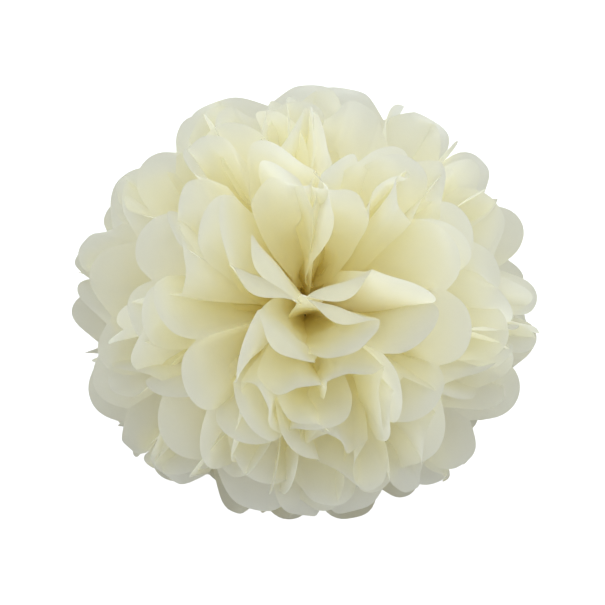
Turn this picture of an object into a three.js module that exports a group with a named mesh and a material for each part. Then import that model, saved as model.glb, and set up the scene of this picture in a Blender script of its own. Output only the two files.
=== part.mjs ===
// Tissue paper pom pom, 25 cm across, in millimetres, +Z up.
//
// Ten sheets of tissue are laid on each other, pleated together into one strip, gathered at the
// middle by a wire, rounded at both ends, and pulled apart: five sheets go up and five go down.
// Each sheet stays in one piece. It is a flat neck under the wire with a pleated fan on either side,
// and its two fans together go once round the ball. Tissue is far thinner than PAPER, which is the
// thickness that the solids are given.
//
// The strip lies along X with the wire round its middle, and the ball stands on its lowest sheet.
// The origin is the middle of the base.

import * as THREE from "three";
import { mergeVertices } from "three/addons/utils/BufferGeometryUtils.js";

// The flat sheet.
const SHEETS = 10;
const PLEATS = 14;
const SHEET_WIDTH = 508; // across the pleats
const SHEET_LENGTH = 254; // along the pleats
const SCALLOP = 20; // how deep the ends of the strip are rounded
const PAPER = 0.5;

// The gathered middle and the wire.
const NECK_HALF_LENGTH = 6; // along X, under the wire
const NECK_HALF_WIDTH = 4; // along Y
const NECK_PITCH = 0.85; // from one sheet to the next, along Z
const WIRE_DIAMETER = 0.9;
const WIRE_CLEARANCE = 0.35; // from the wire to the paper, and between its two twisted ends
const WIRE_TAIL = 22;
const WIRE_TURNS = 4;

// The opened ball. A lean is measured from straight up, so 90 degrees is level.
const TIE_HEIGHT = 85;
const TOP_LEAN = 26;
const UPPER_LEAN = 80; // lowest of the upper sheets
const LOWER_LEAN = 97; // highest of the lower sheets
const BASE_LEAN = 137; // the sheet that the ball stands on
const SEAM_PULL_UP = 0.78; // upper sheets at the seam: share of their lean that is left
const SEAM_PULL_DOWN = 0.5; // lower sheets at the seam: share left of what they stay above the base
const FAN_HALF_ANGLE = 92.7;
const TURN_LENGTH = 18; // from the neck to where a sheet has its full lean
const GATHER_LENGTH = 44; // from the neck to where a pleat has its full width
const PLEAT_ROOM = 0.5; // share of the way to the axis that a pleat may take up

const UPPER_SHEETS = SHEETS / 2;
const PANEL = SHEET_WIDTH / PLEATS;
const FOLD_END = SHEET_LENGTH / 2 - SCALLOP;
// Distances along a fold, from the wire, of its vertices.
const STATIONS = [NECK_HALF_LENGTH, 11, 18, 34, 62, FOLD_END];
// Angles of the vertices on the rounded end of a panel.
const SCALLOP_ANGLES = [45, 90, 135];
const WALK_STEP = 1;

const { degToRad, lerp, smoothstep } = THREE.MathUtils;

// The lean of a sheet at an azimuth measured from X. At the seam, where the two fans meet, upper
// sheets are pulled up and lower sheets down, which makes the ball narrower there.
function leanOf(sheet, azimuth) {
  const seam = Math.sin(azimuth) ** 4;
  if (sheet < UPPER_SHEETS) {
    const lean = lerp(TOP_LEAN, UPPER_LEAN, sheet / (UPPER_SHEETS - 1));
    return degToRad(lean * lerp(1, SEAM_PULL_UP, seam));
  }
  const aboveBase = lerp(BASE_LEAN - LOWER_LEAN, 0, (sheet - UPPER_SHEETS) / (UPPER_SHEETS - 1));
  return degToRad(BASE_LEAN - aboveBase * lerp(1, SEAM_PULL_DOWN, seam));
}

// Walks out from the neck for a distance along a sheet, in the upright plane of one azimuth.
function walk(sheet, azimuth, distance) {
  const finalLean = leanOf(sheet, azimuth);
  const place = { out: 0, up: TIE_HEIGHT + ((SHEETS - 1) / 2 - sheet) * NECK_PITCH, lean: 0 };
  for (let gone = NECK_HALF_LENGTH; gone <= distance; gone += WALK_STEP) {
    const step = Math.min(WALK_STEP, distance - gone);
    const turned = smoothstep(gone - NECK_HALF_LENGTH, 0, TURN_LENGTH);
    place.lean = lerp(Math.PI / 2, finalLean, turned);
    place.out += step * Math.sin(place.lean);
    place.up += step * Math.cos(place.lean);
  }
  return place;
}

// Half the depth of the pleats. A panel keeps its width: what the way round the ball leaves over
// goes into the depth.
function pleatDepth(out, distance, pitch) {
  const width = PANEL * smoothstep(distance - NECK_HALF_LENGTH, 0, GATHER_LENGTH);
  const depth = Math.sqrt(Math.max(width ** 2 - (out * pitch) ** 2, 0)) / 2;
  return Math.min(depth, PLEAT_ROOM * out);
}

// 1 on odd folds, -1 on even folds and straight in between.
function zigzag(fold) {
  return 1 - 2 * Math.abs((fold % 2) - 1);
}

// A point of a sheet and the direction of the paper's thickness there. Side is 1 for the fan on +X
// and -1 for the other one. Fold counts along Y and is a fraction between two folds.
function pointOf(sheet, side, fold, distance) {
  const pitch = degToRad(2 * FAN_HALF_ANGLE) / PLEATS;
  const azimuth = (fold - PLEATS / 2) * pitch;
  const { out, up, lean } = walk(sheet, azimuth, distance);
  const depth = pleatDepth(out, distance, pitch) * zigzag(fold);
  const reach = out + depth * Math.cos(lean);
  const neckY = (fold / PLEATS - 0.5) * 2 * NECK_HALF_WIDTH;
  const point = new THREE.Vector3(
    side * (NECK_HALF_LENGTH + reach * Math.cos(azimuth)),
    neckY + reach * Math.sin(azimuth),
    up - depth * Math.sin(lean),
  );
  const across = new THREE.Vector3(
    -side * Math.cos(lean) * Math.cos(azimuth),
    -Math.cos(lean) * Math.sin(azimuth),
    Math.sin(lean),
  );
  return { point, across };
}

// The middle surface of a sheet: its points and its triangles, which face up at the neck.
function sheetSurface(sheet) {
  const points = [];
  const triangles = [];
  const add = (side, fold, distance) => points.push(pointOf(sheet, side, fold, distance)) - 1;
  const folds = [];
  for (let fold = 0; fold <= PLEATS; fold++) {
    const left = STATIONS.map((distance) => add(-1, fold, distance));
    const right = STATIONS.map((distance) => add(1, fold, distance));
    folds.push([...left.reverse(), ...right]);
  }
  for (let panel = 0; panel < PLEATS; panel++) {
    const near = folds[panel];
    const far = folds[panel + 1];
    for (let row = 0; row + 1 < near.length; row++) {
      triangles.push([near[row], near[row + 1], far[row]]);
      triangles.push([far[row], near[row + 1], far[row + 1]]);
    }
    for (const side of [-1, 1]) {
      const [before, tip, after] = SCALLOP_ANGLES.map((angle) => {
        const fold = panel + (1 - Math.cos(degToRad(angle))) / 2;
        return add(side, fold, FOLD_END + SCALLOP * Math.sin(degToRad(angle)));
      });
      const start = side < 0 ? near[0] : near.at(-1);
      const end = side < 0 ? far[0] : far.at(-1);
      const fan = [[tip, after, end], [tip, end, start], [tip, start, before]];
      triangles.push(...(side < 0 ? fan.map((corners) => corners.reverse()) : fan));
    }
  }
  return { points, triangles };
}

// Gives a surface its thickness: one skin above, one below and a wall along the border. What would
// go through the table lies flat on it.
function paperGeometry({ points, triangles }) {
  const skin = (offset, lowest) => points.flatMap(({ point, across }) => {
    const moved = point.clone().addScaledVector(across, offset);
    return [moved.x, moved.y, Math.max(moved.z, lowest)];
  });
  const positions = [...skin(PAPER / 2, PAPER), ...skin(-PAPER / 2, 0)];
  const under = points.length;
  const edges = new Map();
  for (const [a, b, c] of triangles) {
    for (const [from, to] of [[a, b], [b, c], [c, a]]) {
      edges.set(`${from} ${to}`, [from, to]);
    }
  }
  const faces = triangles.flatMap(([a, b, c]) => [a, b, c, c + under, b + under, a + under]);
  for (const [from, to] of edges.values()) {
    if (!edges.has(`${to} ${from}`)) {
      faces.push(from, from + under, to, to, from + under, to + under);
    }
  }
  return closedGeometry(positions, faces);
}

function closedGeometry(positions, faces) {
  const geometry = new THREE.BufferGeometry();
  geometry.setAttribute("position", new THREE.Float32BufferAttribute(positions, 3));
  geometry.setIndex(faces);
  return mergeVertices(geometry, 1e-3);
}

// The wire: in along one strand of the twist, once round the neck, and out along the other strand.
function wireGeometry() {
  const radius = WIRE_DIAMETER / 2;
  const halfStack = ((SHEETS - 1) * NECK_PITCH + PAPER) / 2;
  const halfY = NECK_HALF_WIDTH + WIRE_CLEARANCE + radius;
  const halfZ = halfStack + WIRE_CLEARANCE + radius;
  const strand = (phase) => {
    const steps = WIRE_TURNS * 8;
    return Array.from({ length: steps + 1 }, (_, i) => {
      const angle = phase + (i / steps) * WIRE_TURNS * 2 * Math.PI;
      const offset = radius + WIRE_CLEARANCE / 2;
      const y = halfY + halfZ + (i / steps) * WIRE_TAIL;
      return new THREE.Vector3(offset * Math.sin(angle), y, TIE_HEIGHT + offset * Math.cos(angle));
    });
  };
  const corners = [[1, 1], [-1, 1], [-1, -1], [1, -1]];
  const loop = corners.map(([y, z]) => new THREE.Vector3(0, y * halfY, TIE_HEIGHT + z * halfZ));
  const path = new THREE.CatmullRomCurve3(
    [...strand(0).reverse(), ...loop, ...strand(Math.PI)], false, "centripetal",
  );
  const section = new THREE.Shape().absarc(0, 0, radius, 0, 2 * Math.PI);
  const wire = new THREE.ExtrudeGeometry(section, {
    steps: 84,
    curveSegments: 6,
    extrudePath: path,
  });
  wire.deleteAttribute("normal");
  wire.deleteAttribute("uv");
  return mergeVertices(wire, 1e-3);
}

const tissue = new THREE.MeshStandardMaterial({ color: 0xeee6b9, roughness: 0.9 });
const steel = new THREE.MeshStandardMaterial({ color: 0x6f7468, metalness: 0.6, roughness: 0.5 });

function addPart(group, name, geometry, material) {
  geometry.computeVertexNormals();
  const mesh = new THREE.Mesh(geometry, material);
  mesh.name = name;
  group.add(mesh);
}

const pompom = new THREE.Group();
pompom.name = "tissue_pom_pom";
for (let sheet = 0; sheet < SHEETS; sheet++) {
  const name = `sheet_${String(sheet + 1).padStart(2, "0")}`;
  addPart(pompom, name, paperGeometry(sheetSurface(sheet)), tissue);
}
addPart(pompom, "wire_tie", wireGeometry(), steel);

export default pompom;
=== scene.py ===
# %% [markdown]
# # A tissue paper pom pom
#
# The real ball is made from ten sheets of tissue. They are laid on each other, pleated into one
# strip, tied at the middle with a wire and rounded at the ends. Then the sheets are pulled apart
# one by one, five up and five down, and the pleats open into petals.
#
# Each sheet is one piece here too: a flat grid of paper that is pleated, tied and opened in code,
# and then left to settle so that it keeps its size and stays clear of its neighbours.

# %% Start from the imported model
import math

import bmesh
import bpy
import numpy as np
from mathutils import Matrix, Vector


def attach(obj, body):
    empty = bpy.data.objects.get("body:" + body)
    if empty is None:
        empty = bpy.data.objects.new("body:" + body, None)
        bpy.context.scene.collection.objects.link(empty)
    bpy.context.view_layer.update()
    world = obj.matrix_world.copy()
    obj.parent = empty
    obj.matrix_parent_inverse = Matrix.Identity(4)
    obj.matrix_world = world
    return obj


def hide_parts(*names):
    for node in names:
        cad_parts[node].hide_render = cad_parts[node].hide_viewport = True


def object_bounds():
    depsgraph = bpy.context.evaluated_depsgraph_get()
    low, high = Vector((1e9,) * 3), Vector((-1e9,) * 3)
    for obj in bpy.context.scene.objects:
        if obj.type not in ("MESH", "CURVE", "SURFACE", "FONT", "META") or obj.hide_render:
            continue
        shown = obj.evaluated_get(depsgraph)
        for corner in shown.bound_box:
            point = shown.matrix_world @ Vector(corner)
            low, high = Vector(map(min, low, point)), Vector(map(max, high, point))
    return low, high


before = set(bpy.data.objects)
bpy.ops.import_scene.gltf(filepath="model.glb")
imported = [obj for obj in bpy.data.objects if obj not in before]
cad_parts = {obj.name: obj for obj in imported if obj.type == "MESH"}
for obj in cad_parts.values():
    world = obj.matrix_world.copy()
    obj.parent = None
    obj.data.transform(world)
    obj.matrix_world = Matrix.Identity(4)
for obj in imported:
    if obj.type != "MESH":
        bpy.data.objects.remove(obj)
cad_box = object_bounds()
low, high = Vector(cad_box[0]), Vector(cad_box[1])
middle = (low + high) / 2
MM = 0.001
print("CAD box, mm:", [round(v / MM) for v in high - low])

# %% [markdown]
# ## Camera
#
# The ball is looked at almost straight down the line that its sheets were pulled apart on, so every
# petal runs out from the middle of the picture. A long lens from nearly a metre away keeps the near
# petals from swelling.

# %% Camera
CAMERA_ELEVATION = math.radians(85)
CAMERA_DISTANCE = 0.903
LENS = 100


def look_at(obj, target):
    obj.rotation_euler = (target - obj.location).to_track_quat("-Z", "Y").to_euler()


camera_data = bpy.data.cameras.new("camera")
camera_data.lens = LENS
camera = bpy.data.objects.new("camera", camera_data)
bpy.context.collection.objects.link(camera)
AIM_X, AIM_Y = -0.0014, 0.002
aim = Vector((AIM_X, AIM_Y, middle.z))
back = Vector((0, -math.cos(CAMERA_ELEVATION), math.sin(CAMERA_ELEVATION)))
camera.location = aim + back * CAMERA_DISTANCE
look_at(camera, aim)
bpy.context.scene.camera = camera
print("camera at", [round(v, 3) for v in camera.location])

# %% [markdown]
# ## Light
#
# Tissue lets through most of the light that reaches it, so the middle of the ball glows with light
# that has crossed many layers. Cycles follows light for 12 bounces unless it is told otherwise, and
# that leaves the middle black, so it gets 128 here.
#
# The front lamp is broad, hangs above the ball and gives most of the light. The key lamp stands
# beyond the ball and two more at its sides. None stands on the near side, so the near petals are a
# little darker. A dim room fills the rest.
#
# The floor gives off its own white light, but light linking keeps that light on the floor alone:
# it stays white without shining up into the petals.

# %% Light
bpy.context.scene.view_settings.view_transform = "Standard"
BOUNCES = 128
bpy.context.scene.cycles.max_bounces = BOUNCES
bpy.context.scene.cycles.diffuse_bounces = BOUNCES
bpy.context.scene.cycles.transmission_bounces = BOUNCES

room = bpy.data.worlds.new("white room")
bpy.context.scene.world = room
room.use_nodes = True
backdrop = room.node_tree.nodes["Background"]
backdrop.inputs["Color"].default_value = (0.93, 0.94, 0.95, 1)
backdrop.inputs["Strength"].default_value = 0.14


def soft_lamp(name, location, size, power, color):
    data = bpy.data.lights.new(name, "AREA")
    data.size = size
    data.energy = power
    data.color = color
    lamp = bpy.data.objects.new(name, data)
    bpy.context.collection.objects.link(lamp)
    lamp.location = location
    look_at(lamp, middle)
    return lamp


COOL_WHITE = (0.86, 0.93, 0.98)
soft_lamp("front lamp", (0.1, 0.35, 1.5), 1.6, 15, (0.86, 0.93, 0.97))
soft_lamp("key lamp", (0.2, 1.2, 0.8), 1.0, 6, COOL_WHITE)
soft_lamp("left lamp", (-1.2, 0.35, 0.7), 1.0, 4.5, COOL_WHITE)
soft_lamp("right lamp", (1.2, 0.35, 0.7), 1.0, 5.5, COOL_WHITE)

# %% [markdown]
# ## A floor that turns up into a wall
#
# A paper sweep in a studio has no line between floor and wall. Here a disc is extruded at its rim
# in six steps round a quarter circle, and then straight up.

# %% Floor
FLOOR_RADIUS, BEND_RADIUS, WALL_HEIGHT = 3, 1.5, 4
floor_mesh = bpy.data.meshes.new("floor")
bm = bmesh.new()
bmesh.ops.create_circle(bm, cap_ends=True, segments=96, radius=FLOOR_RADIUS)
edges = [edge for edge in bm.edges if len(edge.link_faces) == 1]
for angle in range(15, 91, 15):
    made = bmesh.ops.extrude_edge_only(bm, edges=edges)["geom"]
    edges = [item for item in made if isinstance(item, bmesh.types.BMEdge)]
    out = FLOOR_RADIUS + BEND_RADIUS * math.sin(math.radians(angle))
    for vert in (item for item in made if isinstance(item, bmesh.types.BMVert)):
        vert.co.xy = vert.co.xy.normalized() * out
        vert.co.z = BEND_RADIUS * (1 - math.cos(math.radians(angle)))
made = bmesh.ops.extrude_edge_only(bm, edges=edges)["geom"]
top_rim = [item for item in made if isinstance(item, bmesh.types.BMVert)]
bmesh.ops.translate(bm, vec=(0, 0, WALL_HEIGHT), verts=top_rim)
for face in bm.faces:
    face.smooth = True
bm.to_mesh(floor_mesh)
bm.free()
floor = bpy.data.objects.new("floor", floor_mesh)
bpy.context.collection.objects.link(floor)
glow_catcher = bpy.data.collections.new("lit by the floor")
glow_catcher.objects.link(floor)
floor.light_linking.receiver_collection = glow_catcher
print("floor faces:", len(floor_mesh.polygons))

# %% [markdown]
# ## One flat sheet
#
# The sheet is 508 mm wide and 254 mm long and gets 14 pleats, so each panel between two folds is
# about 36 mm wide. The ends of the pleated strip are cut round, and that gives every panel its own
# rounded end. A grid stands for the sheet: its columns run along the strip, closer together near a
# fold so that the round cut comes out smooth, and its rows run from the wire to the rim.

# %% One flat sheet
SHEETS = 10
UPPER = 5
PLEATS = 14
SHEET_WIDTH = 508.0
SHEET_LENGTH = 254.0
SCALLOP = 20.0
PANEL = SHEET_WIDTH / PLEATS
NECK_X = 1.2
ACROSS = 8
ROWS = 22
COLUMNS = PLEATS * ACROSS + 1

step = np.arange(COLUMNS) % ACROSS / ACROSS
in_panel = step - 0.5 - 0.5 * np.cos(np.pi * step)
fold_of = np.arange(COLUMNS) // ACROSS + (in_panel + 1) / 2
half_length = SHEET_LENGTH / 2 - SCALLOP * (1 - np.sqrt(np.clip(1 - in_panel**2, 0, 1)))
along = NECK_X + np.linspace(0, 1, ROWS)[:, None] * (half_length - NECK_X)
across = np.broadcast_to(fold_of * PANEL, along.shape)

# %% [markdown]
# ## Tied
#
# Under the wire all folds lie side by side within 8 mm, and the sheets lie on each other. The paper
# is crushed there, so a panel has its full width only from 48 mm out. At the two ends of the strip
# the halves of a sheet start nearly in one point, so that no slit is left between them.

# %% Tied
NECK_Y, NECK_PITCH, TIE_HEIGHT = 4.0, 0.85, 85.0
GATHER = 48.0
gathered = np.clip((along - NECK_X) / GATHER, 0.02, 1) ** 0.8
start_x = NECK_X * (1 - 0.85 * np.abs(2 * fold_of / PLEATS - 1) ** 6)
print("half width of the neck, mm:", start_x.min().round(2), "to", start_x.max().round(2))

# %% [markdown]
# ## Opened
#
# From the tie each fold walks outwards in its own upright plane and turns to the lean of its
# sheet, in degrees from straight up: the second sheet leans half over, the fifth lies almost level,
# and the others point down, the lowest one out over the table. Where the two halves of a sheet
# meet, at +Y and -Y, the folds are pulled up or down further. What the circle round the ball can't
# take up of a panel's width goes into the depth of the pleat.
#
# Close to the tie the fan is opened wider than at its rim, and the line on which its halves meet
# lies 1 mm to the left in one sheet and 1 mm to the right in the next. So nothing shows through.
#
# `ease` goes smoothly from 0 to 1 between two distances, in mm along the paper from the tie.

# %% Opened
FAN_HALF_ANGLE = 96
WIDER_AT_TIE = 0.3
MEETING_SHIFT = 1
DEEPEST_PLEAT = 0.55
FRONT_LEANS = [26, 54, 63, 72, 81, 97, 108, 118, 128, 137]
SEAM_LEANS = [20, 36, 43, 50, 56, 119, 125, 130, 135, 140]
azimuth = np.radians(2 * FAN_HALF_ANGLE) * (fold_of / PLEATS - 0.5)
pitch = math.radians(2 * FAN_HALF_ANGLE) / PLEATS
zigzag = 1 - 2 * np.abs(fold_of % 2 - 1)
seam_share = np.sin(azimuth) ** 2


def ease(x, start, end):
    x = np.clip((x - start) / (end - start), 0, 1)
    return x * x * (3 - 2 * x)


def open_sheets(lean_shift, twist, lift, seam_gap):
    """Millimetre positions as [sheet, side, row, column, xyz]. The three shifts are given as
    [sheet, side, column]: added lean and azimuth in radians, and added pleat depth in mm."""
    walked = np.arange(0, SHEET_LENGTH / 2, 1.0)
    turned = ease(walked, 0, 16)
    front, seam = np.radians(FRONT_LEANS), np.radians(SEAM_LEANS)
    points = np.zeros((SHEETS, 2, ROWS, COLUMNS, 3))
    gone = along - NECK_X
    for sheet in range(SHEETS):
        for side, way in enumerate((-1, 1)):
            to_seam = (seam[sheet] - front[sheet]) * seam_share
            final = front[sheet] + to_seam + lean_shift[sheet, side]
            lean = math.pi / 2 + (final[:, None] - math.pi / 2) * turned
            out = np.cumsum(np.sin(lean), 1) - 1
            up = np.cumsum(np.cos(lean), 1)
            for column in range(COLUMNS):
                d = gone[:, column]
                o = np.interp(d, walked, out[column])
                u = np.interp(d, walked, up[column])
                tilt = np.interp(d, walked, lean[column])
                width = PANEL * gathered[:, column]
                depth = np.sqrt(np.maximum(width**2 - (o * pitch) ** 2, 0)) / 2
                depth = np.minimum(depth, DEEPEST_PLEAT * o) * zigzag[column]
                depth += lift[sheet, side, column] * ease(d, 20, 110)
                turn = azimuth[column] * (1 + WIDER_AT_TIE - WIDER_AT_TIE * ease(d, 4, 30))
                turn += twist[sheet, side, column] * ease(d, 15, 110)
                reach = o + depth * np.cos(tilt)
                place = points[sheet, side, :, column]
                shift = way * MEETING_SHIFT * (2 * (sheet % 2) - 1)
                meeting = (seam_gap + shift) * ease(d, 0, 4)
                beside = np.maximum(start_x[column] + reach * np.cos(turn), meeting)
                place[:, 0] = way * beside
                place[:, 1] = (fold_of[column] / PLEATS - 0.5) * 2 * NECK_Y + reach * np.sin(turn)
                place[:, 2] = TIE_HEIGHT + ((SHEETS - 1) / 2 - sheet) * NECK_PITCH
                place[:, 2] += u - depth * np.sin(tilt)
    return points


# %% [markdown]
# ## The top sheet
#
# The top sheet is the one that everybody sees, and its folds go their own way. So each of its folds
# is given one by one: how far it leans from upright, and where it points as seen from above, in
# degrees.
# 0 is straight out to its own side, -90 is -Y and 90 is +Y. The folds are listed from -Y to +Y,
# first those on the -X side and then those on the +X side.

# %% The top sheet
INNER_FOLDS = [
    [(17, -98), (12, -17), (30, -56), (38, -80), (40, -52), (33, -22), (38, 6), (42, -22),
     (45, 5), (42, 32), (27, 16), (31, 52), (19, 15), (5, -74), (20, 42)],
    [(16, -80), (20, -20), (2, 197), (17, 17), (34, -4), (27, -38), (42, -58), (44, -28),
     (40, 0), (36, 32), (45, 8), (44, 38), (38, 68), (20, 88), (34, 112)],
]


def inner_sheet():
    points = np.zeros((2, ROWS, COLUMNS, 3))
    gone = (along - NECK_X)[:, :, None]
    for side, folds in enumerate(INNER_FOLDS):
        lean, turn = np.radians(folds).T
        way = np.array([np.sin(lean) * np.cos(turn), np.sin(lean) * np.sin(turn), np.cos(lean)])
        way = np.array([np.interp(fold_of, np.arange(PLEATS + 1), axis) for axis in way]).T
        points[side] = way * gone
        points[side, :, :, 0] += start_x
        points[side, :, :, 0] *= 2 * side - 1
        points[side, :, :, 1] += (fold_of / PLEATS - 0.5) * 2 * NECK_Y
        points[side, :, :, 2] += TIE_HEIGHT + (SHEETS - 1) / 2 * NECK_PITCH
    return points


nothing = np.zeros((SHEETS, 2, COLUMNS))
regular = open_sheets(nothing, nothing, nothing, seam_gap=0.3)
regular[0] = inner_sheet()
print("opened ball, mm:", np.ptp(regular.reshape(-1, 3), axis=0).round())

# %% [markdown]
# ## Fluffed by hand
#
# Nobody opens 280 petals alike. Each fold gets a seeded pull of its own: more or less lean, a turn
# to one side and a push in or out. Some pulls are shared by the sheet above and below, as fingers
# take hold of two sheets at once. Folds are also pushed together in pairs, so that petals stand two
# by two. At the seam the two fans are drawn over each other.
#
# The second to fourth sheet were opened a little too far, to be clear of the top one at the start.
# Here they are drawn back.

# %% Fluffed by hand
LEAN_PULL = [14, 11, 9, 8, 7, 6, 5, 5, 5, 4]
TWIST_PULL, LIFT_PULL = 4.0, 6.0
PAIR_PULL = 9.0
SEAM_PULL, SEAM_OVERLAP = 7.0, 3.0
DRAWN_BACK = [0, 9, 6, 3, 0, 0, 0, 0, 0, 0]
rng = np.random.default_rng(11)
FOLDS = PLEATS + 1


def pulls(spread, shared=0.5):
    own = rng.normal(0, 1, (SHEETS, 2, FOLDS))
    pairs = np.repeat(rng.normal(0, 1, (UPPER, 2, FOLDS)), 2, axis=0)
    at_folds = shared * pairs + math.sqrt(1 - shared**2) * own
    return spread_over(at_folds * np.broadcast_to(spread, SHEETS)[:, None, None])


def spread_over(at_folds):
    folds = np.arange(FOLDS)
    return np.array([[np.interp(fold_of, folds, fan) for fan in sheet] for sheet in at_folds])


lean_pull = np.radians(pulls(LEAN_PULL))
twist_pull = np.radians(pulls(TWIST_PULL))
lift_pull = pulls(LIFT_PULL)
lean_pull -= np.radians(DRAWN_BACK)[:, None, None]
phase = rng.integers(0, 4, (SHEETS, 2, 1))
spread_pairs = np.array([-1, 1, 1, -1])[(np.arange(FOLDS) + phase) % 4]
pair_strength = rng.uniform(0.4, 1.3, spread_pairs.shape)
twist_pull += math.radians(PAIR_PULL) * spread_over(spread_pairs * pair_strength)
near_seam = ease(np.abs(fold_of - PLEATS / 2), PLEATS / 2 - 3, PLEATS / 2) * np.sign(azimuth)
for sheet in range(SHEETS):
    for end in (-1, 1):
        drawn = math.radians(rng.normal(0, SEAM_PULL))
        here = near_seam * (near_seam * end > 0)
        twist_pull[sheet, 0] += here * (drawn + math.radians(SEAM_OVERLAP))
        twist_pull[sheet, 1] -= here * (drawn - math.radians(SEAM_OVERLAP))
wanted = open_sheets(lean_pull, twist_pull, lift_pull, seam_gap=-20)
wanted[0] = inner_sheet()
print("largest pull on a fold, mm:", round(float(np.abs(wanted - regular).max())))

# %% [markdown]
# ## Paper that keeps its size
#
# Pulled about like that, the grid would be stretched, and paper doesn't stretch. So the points are
# moved bit by bit towards where they are wanted while every link of the grid is put back to its
# flat length, again and again. Links that skip a point resist bending inside a panel, but none of
# them crosses a fold, so the folds stay crisp. This is done with plain arrays, as cloth solvers do
# it, and the links are sorted into groups that share no point, so a whole group moves at once.

# %% Links of the paper
point_id = np.arange(SHEETS * 2 * ROWS * COLUMNS).reshape(SHEETS, 2, ROWS, COLUMNS)
all_rows, all_columns = np.arange(ROWS), np.arange(COLUMNS)
links = []


def link(rows, columns, down, right, strength, props=False):
    """Links points to those some rows down and columns right. Props only push apart."""
    if not len(rows) or not len(columns):
        return
    far_rows, far_columns = rows + down, columns + right
    near, far = np.ix_(rows, columns), np.ix_(far_rows, far_columns)
    squeeze = (gathered[near] + gathered[far]) / 2
    rest = np.hypot(along[near] - along[far], (across[near] - across[far]) * squeeze)
    a = point_id[:, :, rows][:, :, :, columns]
    b = point_id[:, :, far_rows][:, :, :, far_columns]
    rest = np.broadcast_to(rest, a.shape).astype(np.float32)
    links.append((a.ravel(), b.ravel(), rest.ravel(), strength, props))


for odd in (0, 1):
    link(all_rows[odd:-1:2], all_columns, 1, 0, 1.0)
    link(all_rows, all_columns[odd:-1:2], 0, 1, 1.0)
    for odd_row in (0, 1):
        link(all_rows[odd_row:-1:2], all_columns[odd:-1:2], 1, 1, 0.5)
        link(all_rows[odd_row:-1:2] + 1, all_columns[odd:-1:2], -1, 1, 0.5)
panel_starts = np.arange(PLEATS) * ACROSS
for first, skip, strength in [(0, 2, 0.6), (2, 2, 0.6), (4, 2, 0.6), (6, 2, 0.6),
                              (0, 4, 0.6), (4, 4, 0.6), (2, 4, 0.5), (0, 8, 0.5)]:
    for odd in (0, 1):
        link(all_rows, panel_starts[odd::2] + first, 0, skip, strength, props=True)
for skip, strength in [(2, 0.5), (5, 0.5), (10, 0.3)]:
    for turn in (0, 1):
        block = (all_rows // skip) % 2 == turn
        link(all_rows[block & (all_rows < ROWS - skip)], all_columns, skip, 0, strength, props=True)
print("links:", sum(len(a) for a, *_ in links), "in", len(links), "groups")

# %% [markdown]
# ## Pushing petals apart
#
# Points of different petals that come close are pushed apart. To find them fast, space is cut into
# cells, the points are sorted by cell, and each cell is compared with its neighbours only.
#
# The push sees points and not the paper between them, and it can't undo a crossing that is there
# already. So parts of the sheets still pass through each other when the ball has settled.

# %% Close pairs
def close_pairs(points, reach):
    """Numbers of the points that are closer to each other than reach, each pair once."""
    cell = np.floor((points - points.min(0)) / reach).astype(np.int64) + 1
    size = cell.max(0) + 2
    key = (cell[:, 0] * size[1] + cell[:, 1]) * size[2] + cell[:, 2]
    order = np.argsort(key, kind="stable")
    key = key[order]
    every = np.arange(len(points))
    found = []
    for dx in (0, 1):
        for dy in (-1, 0, 1):
            for dz in (-1, 0, 1):
                if (dx, dy, dz) < (0, 0, 0):
                    continue
                other = key + (dx * size[1] + dy) * size[2] + dz
                first = np.searchsorted(key, other, "left")
                last = np.searchsorted(key, other, "right")
                if (dx, dy, dz) == (0, 0, 0):
                    first = every + 1
                count = np.maximum(last - first, 0)
                start = np.repeat(first - (np.cumsum(count) - count), count)
                found.append((np.repeat(every, count), start + np.arange(len(start))))
    a = order[np.concatenate([one for one, _ in found])]
    b = order[np.concatenate([two for _, two in found])]
    near = ((points[a] - points[b]) ** 2).sum(1) < reach**2
    return a[near], b[near]


# %% [markdown]
# ## Settling
#
# Each round has five steps. The points go on as they moved before and a little towards where they
# are wanted. Close pairs are looked up again, in every sixth round. The links are put back to their
# length. Close pairs are pushed apart. At last the points are kept above the table, below the top
# and inside a rounded outline that is narrower towards the top, as hands that turn the ball round
# would press its longest petals back.
#
# Paper under the wire doesn't move: it is held within 9 mm of the tie and free from 22 mm on. The
# gap between petals grows with their distance from the tie.

# %% Settling
CLEARANCE = 4.0
PULL = 0.02
HELD_WITHIN, FREE_FROM = 9, 22
NO_GAP_WITHIN, FULL_GAP_FROM = 30, 85
LOWEST, HIGHEST, WAIST_HEIGHT = 0.6, 208.0, 97.0
HALF_X, HALF_Y, TAPER = 128.0, 118.0, 0.0014
ROUNDS = 220


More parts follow.
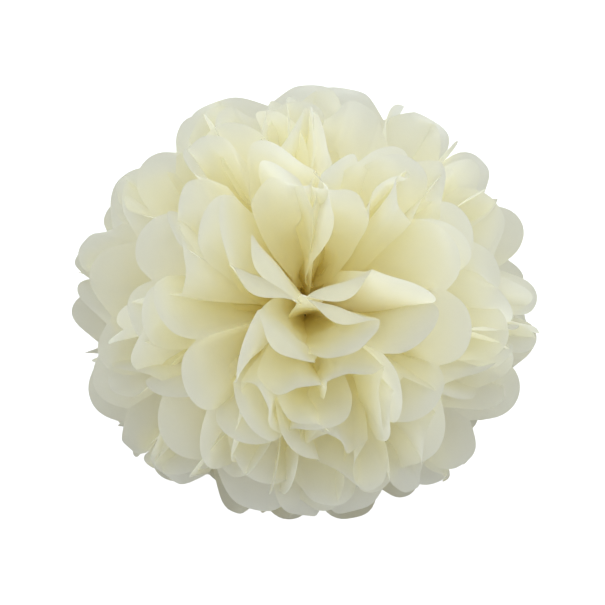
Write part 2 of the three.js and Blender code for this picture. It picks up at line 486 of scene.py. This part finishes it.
def settle(start, wanted, rounds):
    shape = start.shape
    points = start.reshape(-1, 3).astype(np.float32)
    goal = wanted.reshape(-1, 3).astype(np.float32)
    distance = np.broadcast_to(along, shape[:-1]).ravel()
    free = ease(distance, HELD_WITHIN, FREE_FROM).astype(np.float32)
    gap = (CLEARANCE * ease(distance, NO_GAP_WITHIN, FULL_GAP_FROM)).astype(np.float32)
    open_part = np.nonzero(gap > 0.8)[0]
    sheet, side, row, column = np.unravel_index(np.arange(len(points)), shape[:-1])
    fan = sheet * 2 + side
    before = points.copy()
    for turn in range(rounds):
        moved = (points - before) * 0.9
        before = points.copy()
        points += moved * free[:, None] + (PULL * free)[:, None] * (goal - points)
        if turn % 6 == 0:
            a, b = close_pairs(points[open_part], CLEARANCE * 1.5)
            a, b = open_part[a], open_part[b]
            apart = (fan[a] != fan[b]) | (np.abs(row[a] - row[b]) > 2)
            apart |= np.abs(column[a] - column[b]) > 5
            a, b = a[apart], b[apart]
            wanted_gap = np.minimum(gap[a], gap[b])
        for p, q, rest, strength, props in links:
            step = points[q] - points[p]
            length = np.sqrt((step * step).sum(1)) + 1e-6
            error = length - rest
            if props:
                error = np.minimum(error, 0)
            share = free[p] + free[q] + 1e-6
            step *= (strength * error / (length * share))[:, None]
            points[p] += step * free[p][:, None]
            points[q] -= step * free[q][:, None]
        step = points[b] - points[a]
        length = np.sqrt((step * step).sum(1)) + 1e-6
        push = np.clip(wanted_gap - length, 0, None) * 0.5 / length
        hit = push > 0
        one, two, step = a[hit], b[hit], step[hit] * push[hit][:, None]
        number = np.bincount(one, minlength=len(points)) + np.bincount(two, minlength=len(points))
        ease_off = free / np.sqrt(np.maximum(number, 1))
        for axis in range(3):
            shift = np.bincount(two, step[:, axis], len(points))
            shift -= np.bincount(one, step[:, axis], len(points))
            points[:, axis] += shift * ease_off
        points[:, 2] = np.clip(points[:, 2], LOWEST, HIGHEST)
        taper = 1 - TAPER * np.maximum(points[:, 2] - WAIST_HEIGHT, 0)
        outside = np.hypot(points[:, 0] / HALF_X, points[:, 1] / HALF_Y) / taper
        points[:, :2] /= np.maximum(outside, 1)[:, None]
    print("settled in", rounds, "rounds;", int(hit.sum()), "pairs are closer than wanted")
    return points.reshape(shape)


settled = settle(regular, wanted, ROUNDS)
print("fluffed ball, mm:", np.ptp(settled.reshape(-1, 3), axis=0).round())

# %% [markdown]
# ## The sheets as meshes
#
# Each sheet starts as a flat grid from one operator. Its flat place is kept as a UV map, in metres,
# so that the material knows where on the paper a point is. Then every vertex goes to its settled
# place. Folds are marked sharp and creased, and one subdivision rounds the rest.

# %% The sheets as meshes
def sheet_piece(index):
    rows = 2 * ROWS
    bm = bmesh.new()
    bmesh.ops.create_grid(bm, x_segments=rows - 1, y_segments=COLUMNS - 1, size=1)
    shape = np.concatenate([settled[index, 0, ::-1], settled[index, 1]]) * MM
    plan_x = np.concatenate([-along[::-1], along]) * MM
    uv = bm.loops.layers.uv.new("flat")
    crease = bm.edges.layers.float.new("crease_edge")
    grid_place = {}
    for vert in bm.verts:
        row = round((vert.co.x + 1) / 2 * (rows - 1))
        column = round((vert.co.y + 1) / 2 * (COLUMNS - 1))
        grid_place[vert] = (row, column)
        vert.co = shape[row, column]
    for face in bm.faces:
        face.smooth = True
        for loop in face.loops:
            row, column = grid_place[loop.vert]
            loop[uv].uv = (plan_x[row, column], fold_of[column] * PANEL * MM)
    for edge in bm.edges:
        if all(grid_place[vert][1] % ACROSS == 0 for vert in edge.verts):
            edge.smooth = False
            edge[crease] = 1.0
    name = f"tissue_{index + 1:02d}"
    mesh = bpy.data.meshes.new(name)
    bm.to_mesh(mesh)
    bm.free()
    piece = bpy.data.objects.new(name, mesh)
    bpy.context.collection.objects.link(piece)
    rounding = piece.modifiers.new("rounding", "SUBSURF")
    rounding.levels = rounding.render_levels = 1
    return piece


tissue_sheets = [sheet_piece(index) for index in range(SHEETS)]
print("sheets:", [piece.name for piece in tissue_sheets])

# %% [markdown]
# ## Tissue paper
#
# Thin paper both scatters light back and lets it through, so the finish mixes a matte surface with
# a translucent one. Each layer that light crosses takes out a little blue, and that makes the depth
# of the ball warmer than its rim.
#
# Fine noise stands for the fibres and coarse noise for a slight crinkle. Both lie on the flat
# sheet, so they follow the paper through its folds.

# %% Helpers for materials
def new_material(name):
    material = bpy.data.materials.new(name)
    material.use_nodes = True
    material.node_tree.nodes.clear()
    return material, material.node_tree.nodes, material.node_tree.links


# %% Tissue paper
PAPER_COLOR = (0.998, 0.986, 0.9, 1)
THROUGH_COLOR = (0.9995, 0.987, 0.888, 1)

tissue, nodes, wires = new_material("cream tissue")
output = nodes.new("ShaderNodeOutputMaterial")
mix = nodes.new("ShaderNodeMixShader")
mix.inputs["Fac"].default_value = 0.82
surface = nodes.new("ShaderNodeBsdfPrincipled")
surface.inputs["Roughness"].default_value = 0.8
surface.inputs["Specular IOR Level"].default_value = 0.2
through = nodes.new("ShaderNodeBsdfTranslucent")

texture_place = nodes.new("ShaderNodeUVMap")
texture_place.uv_map = "flat"
fibres = nodes.new("ShaderNodeTexNoise")
fibres.inputs["Scale"].default_value = 900
fibres.inputs["Detail"].default_value = 2
crinkle = nodes.new("ShaderNodeTexNoise")
crinkle.inputs["Scale"].default_value = 90
crinkle.inputs["Detail"].default_value = 2
wires.new(texture_place.outputs["UV"], fibres.inputs["Vector"])
wires.new(texture_place.outputs["UV"], crinkle.inputs["Vector"])


def tint(factor, dark, light):
    ramp = nodes.new("ShaderNodeMix")
    ramp.data_type = "RGBA"
    ramp.inputs[6].default_value = dark
    ramp.inputs[7].default_value = light
    wires.new(factor, ramp.inputs["Factor"])
    return ramp.outputs[2]


def darker(color, amount):
    return tuple(c * amount for c in color[:3]) + (1,)


wires.new(tint(fibres.outputs["Fac"], darker(PAPER_COLOR, 0.97), PAPER_COLOR),
          surface.inputs["Base Color"])
wires.new(tint(fibres.outputs["Fac"], darker(THROUGH_COLOR, 0.97), THROUGH_COLOR),
          through.inputs["Color"])

bumps = nodes.new("ShaderNodeMath")
bumps.operation = "MULTIPLY_ADD"
bumps.inputs[1].default_value = 0.12
wires.new(fibres.outputs["Fac"], bumps.inputs[0])
wires.new(crinkle.outputs["Fac"], bumps.inputs[2])
bump = nodes.new("ShaderNodeBump")
bump.inputs["Strength"].default_value = 0.35
bump.inputs["Distance"].default_value = 0.0012
wires.new(bumps.outputs[0], bump.inputs["Height"])
wires.new(bump.outputs["Normal"], surface.inputs["Normal"])
wires.new(bump.outputs["Normal"], through.inputs["Normal"])

wires.new(surface.outputs[0], mix.inputs[1])
wires.new(through.outputs[0], mix.inputs[2])
wires.new(mix.outputs[0], output.inputs["Surface"])
for piece in tissue_sheets:
    piece.data.materials.append(tissue)

# %% [markdown]
# ## Wire and floor
#
# The wire is soft florist's wire, dull and slightly stained. The floor is plain pale paper.

# %% Wire and floor
wire_finish, nodes, wires = new_material("florist wire")
output = nodes.new("ShaderNodeOutputMaterial")
metal = nodes.new("ShaderNodeBsdfPrincipled")
metal.inputs["Metallic"].default_value = 0.9
metal.inputs["Roughness"].default_value = 0.45
stain = nodes.new("ShaderNodeTexNoise")
stain.inputs["Scale"].default_value = 400
place = nodes.new("ShaderNodeTexCoord")
wires.new(place.outputs["Object"], stain.inputs["Vector"])
wires.new(tint(stain.outputs["Fac"], (0.16, 0.17, 0.14, 1), (0.42, 0.42, 0.38, 1)),
          metal.inputs["Base Color"])
wires.new(metal.outputs[0], output.inputs["Surface"])
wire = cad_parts["wire_tie"]
wire.data.materials.clear()
wire.data.materials.append(wire_finish)

floor_finish, nodes, wires = new_material("pale floor")
output = nodes.new("ShaderNodeOutputMaterial")
paint = nodes.new("ShaderNodeBsdfPrincipled")
paint.inputs["Base Color"].default_value = (0.35, 0.35, 0.35, 1)
paint.inputs["Roughness"].default_value = 0.9
paint.inputs["Emission Color"].default_value = (1, 1, 1, 1)
paint.inputs["Emission Strength"].default_value = 0.8
wires.new(paint.outputs[0], output.inputs["Surface"])
floor_mesh.materials.append(floor_finish)

# %% [markdown]
# ## What each piece is
#
# Every sheet takes the place of its plain solid: it is attached to the root body, and the solid is
# hidden.

# %% What each piece is
for index, piece in enumerate(tissue_sheets):
    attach(piece, "root")
    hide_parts(f"sheet_{index + 1:02d}")
